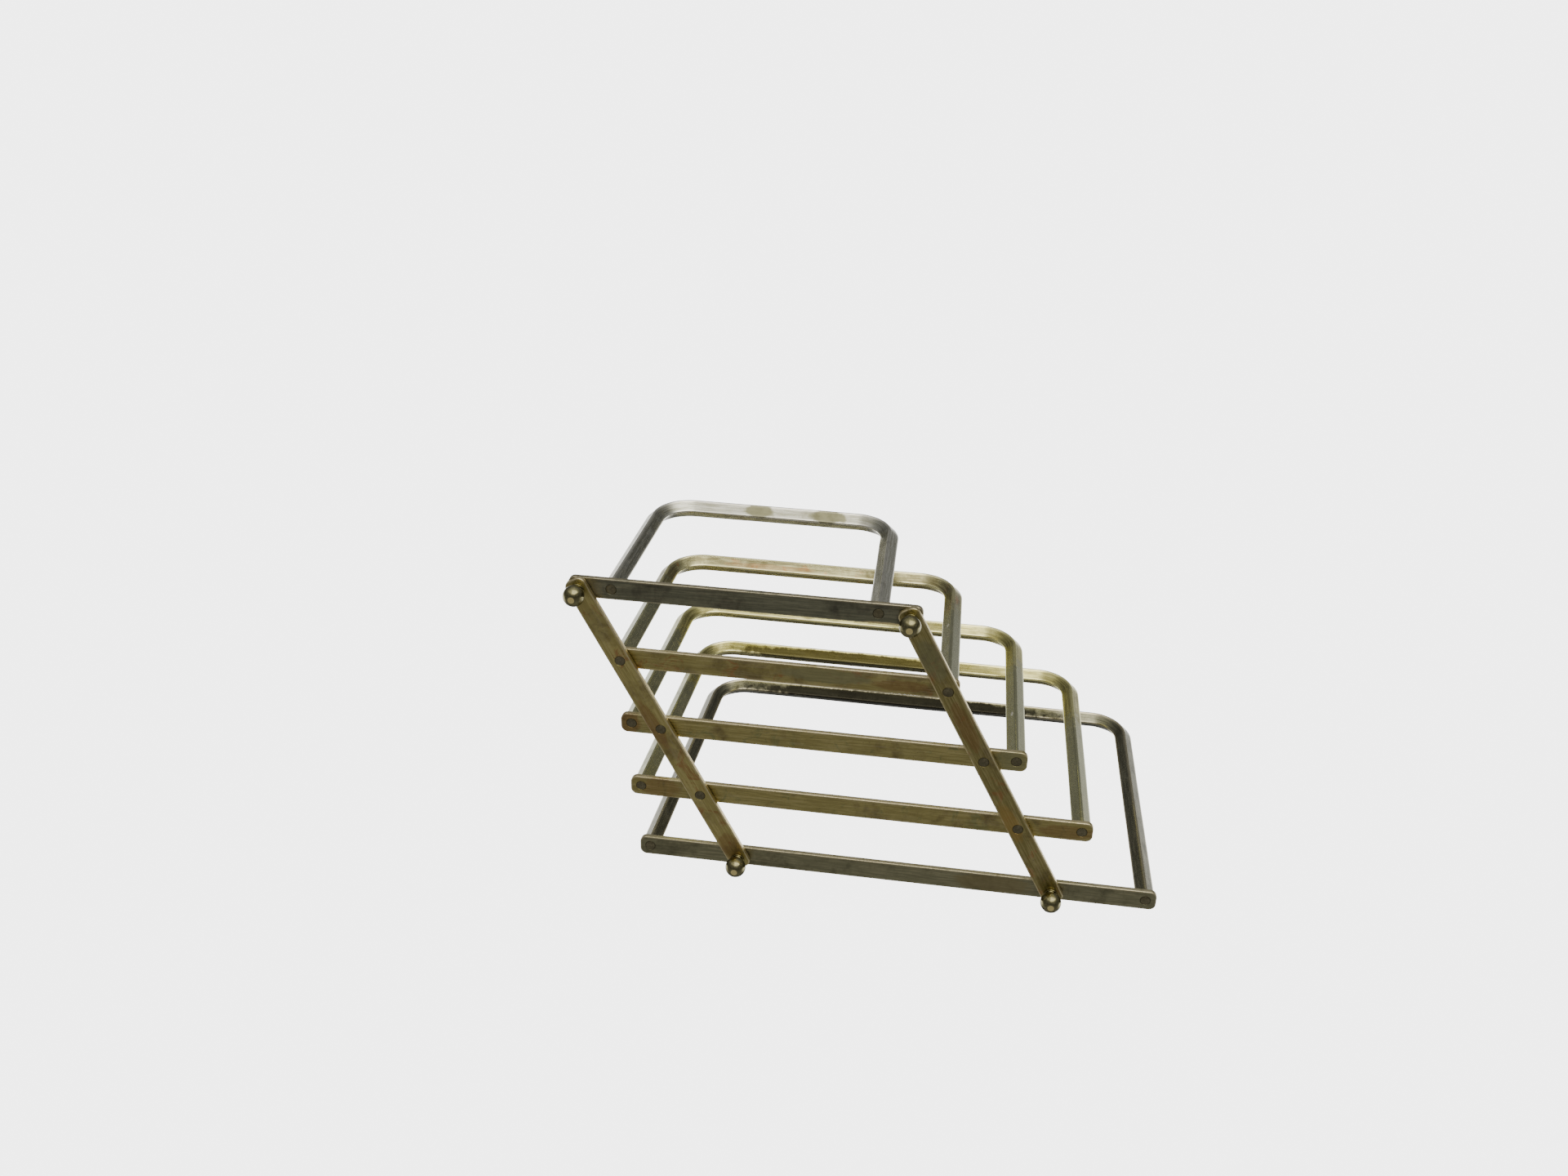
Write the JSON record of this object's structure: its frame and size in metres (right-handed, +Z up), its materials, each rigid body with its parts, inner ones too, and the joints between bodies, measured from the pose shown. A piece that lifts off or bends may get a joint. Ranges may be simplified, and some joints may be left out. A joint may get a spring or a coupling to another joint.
{
  "type": "toast rack",
  "caption": "Folding toast rack: graduated square-wire hoops on flat bars, joined underneath by two pivoted links with ball feet, so the frames shear together and fold flat.",
  "frame": {"origin": "on the table, under the centre of the box around the rack as it stands", "axes": "+Z up, +X along the bars to the right, +Y from the smallest hoop to the largest"},
  "size_m": [0.1766, 0.0954, 0.1119],
  "materials": {
    "hoop_silver": "worn silver plate gone grey-green, scratched, brassy where rubbed",
    "bar_dark": "dark tarnished plate with worn bright edges",
    "bar_brass": "bare tarnished brass with brown and green patches",
    "link_brass": "bare tarnished brass, brown patches, bright edges",
    "rivet_dark": "dark hammered rivet heads",
    "foot_brass": "polished by wear, pale flat tips"
  },
  "bodies": {
    "rear_frame": {"hoop_5": "hoop_silver", "bar_5": "bar_dark"},
    "left_swing": {"left_link": "link_brass", "left_pivot_3": "rivet_dark", "left_pivot_4": "rivet_dark", "front_left_foot": "foot_brass", "rear_left_foot": "foot_brass"},
    "right_swing": {"right_link": "link_brass", "right_pivot_3": "rivet_dark", "right_pivot_4": "rivet_dark", "front_right_foot": "foot_brass", "rear_right_foot": "foot_brass"},
    "frame_1": {"hoop_1": "hoop_silver", "bar_1": "bar_dark"},
    "frame_2": {"hoop_2": "hoop_silver", "bar_2": "bar_brass"},
    "frame_3": {"hoop_3": "hoop_silver", "bar_3": "bar_brass"},
    "frame_4": {"hoop_4": "hoop_silver", "bar_4": "bar_brass"}
  },
  "joints": [
    {"name": "left_link_swing", "type": "hinge", "parent": "rear_frame", "child": "left_swing", "pos_m": [-0.03778, 0.04415, 0.00866], "axis": [0, 0, 1], "range_deg": [-46, 102]},
    {"name": "right_link_swing", "type": "hinge", "parent": "rear_frame", "child": "right_swing", "pos_m": [0.05722, 0.04415, 0.00866], "axis": [0, 0, 1], "range_deg": [-46, 102]},
    {"name": "frame_1_turn", "type": "hinge", "parent": "left_swing", "child": "frame_1", "pos_m": [-0.08472, -0.04415, 0.00866], "axis": [0, 0, 1], "range_deg": [-102, 46]},
    {"name": "frame_2_turn", "type": "hinge", "parent": "left_swing", "child": "frame_2", "pos_m": [-0.07299, -0.02207, 0.00866], "axis": [0, 0, 1], "range_deg": [-102, 46]},
    {"name": "frame_3_turn", "type": "hinge", "parent": "left_swing", "child": "frame_3", "pos_m": [-0.06125, 0, 0.00866], "axis": [0, 0, 1], "range_deg": [-102, 46]},
    {"name": "frame_4_turn", "type": "hinge", "parent": "left_swing", "child": "frame_4", "pos_m": [-0.04951, 0.02207, 0.00866], "axis": [0, 0, 1], "range_deg": [-102, 46]}
  ],
  "couplings": [
    {"joint": "right_link_swing", "follows": "left_link_swing", "ratio": 1},
    {"joint": "frame_1_turn", "follows": "left_link_swing", "ratio": -1},
    {"joint": "frame_2_turn", "follows": "left_link_swing", "ratio": -1},
    {"joint": "frame_3_turn", "follows": "left_link_swing", "ratio": -1},
    {"joint": "frame_4_turn", "follows": "left_link_swing", "ratio": -1}
  ]
}
